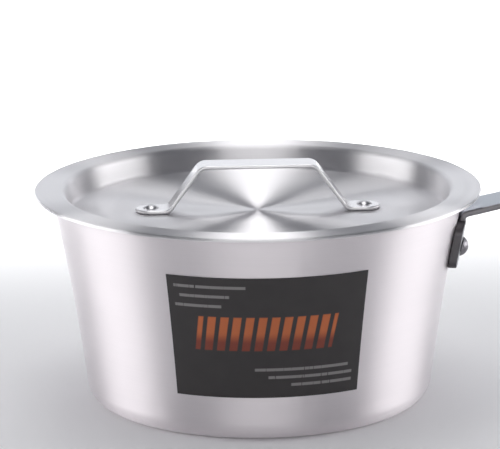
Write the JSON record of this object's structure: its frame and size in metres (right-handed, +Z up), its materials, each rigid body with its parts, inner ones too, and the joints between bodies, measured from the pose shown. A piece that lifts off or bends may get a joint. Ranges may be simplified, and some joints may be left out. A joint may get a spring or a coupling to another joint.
{
  "type": "saucepan",
  "caption": "Flared aluminium saucepan with a riveted plated-steel long handle and a sunk flanged lid with a strap handle.",
  "frame": {"origin": "centre of the underside of the pan's floor, on the pan's axis", "axes": "+Z up along the pan's axis, +X along the long handle away from the pan, -Y towards the label"},
  "size_m": [0.4207, 0.24, 0.1292],
  "materials": {
    "pan_aluminium": "satin, turned inside and out",
    "lid_aluminium": "bright, turned",
    "strap_aluminium": "satin",
    "handle_steel": "bright plated",
    "rivet_aluminium": "bright, formed",
    "label_film": "satin print, dark with plain bars"
  },
  "bodies": {
    "pan": {"pan_body": "pan_aluminium", "handle": "handle_steel", "handle_rivet_front": "rivet_aluminium", "handle_rivet_back": "rivet_aluminium", "label": "label_film"},
    "lid": {"lid": "lid_aluminium", "lid_handle": "strap_aluminium", "lid_rivet_left": "rivet_aluminium", "lid_rivet_right": "rivet_aluminium"}
  },
  "joints": [
    {"name": "lid_lift", "type": "slide", "parent": "pan", "child": "lid", "axis": [0, 0, 1], "range_m": [0, 0.12]}
  ]
}
